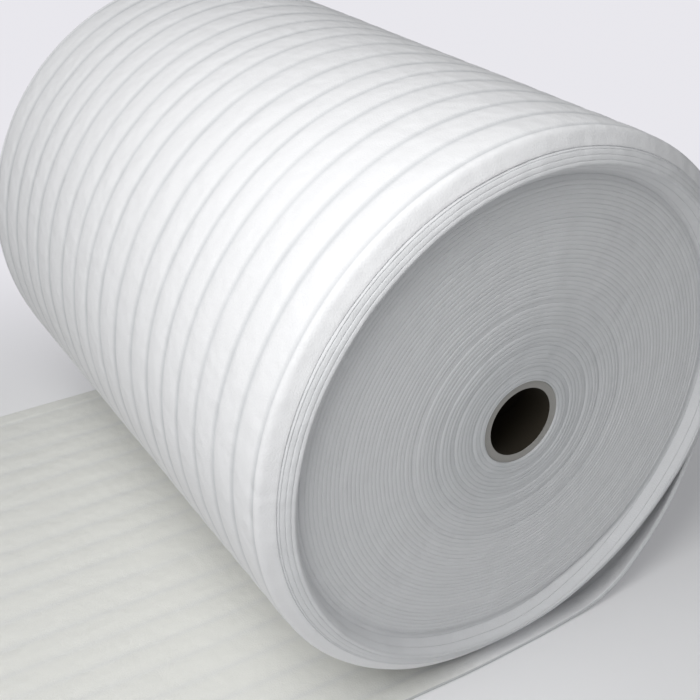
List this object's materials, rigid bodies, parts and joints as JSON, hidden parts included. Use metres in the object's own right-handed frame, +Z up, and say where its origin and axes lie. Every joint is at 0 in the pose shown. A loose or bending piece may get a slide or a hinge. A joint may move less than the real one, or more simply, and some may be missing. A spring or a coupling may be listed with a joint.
{
  "type": "foam wrap roll",
  "caption": "Large roll of ribbed white packing foam wound on a cardboard core, lying on its side with its loose end run out flat on the floor.",
  "frame": {"origin": "middle of the core's bore, on the roll's axis", "axes": "+Y along the roll's axis, +Z up from the floor, the loose end runs out towards -X; the end seen in the picture faces -Y"},
  "size_m": [0.9175, 0.7769, 0.5993],
  "materials": {
    "white_foam": "soft matte closed-cell foam sheet with shallow ribs",
    "core_board": "uncoated spiral-wound board"
  },
  "bodies": {
    "root": {"foam_sheet": "white_foam", "core_tube": "core_board"}
  },
  "joints": []
}
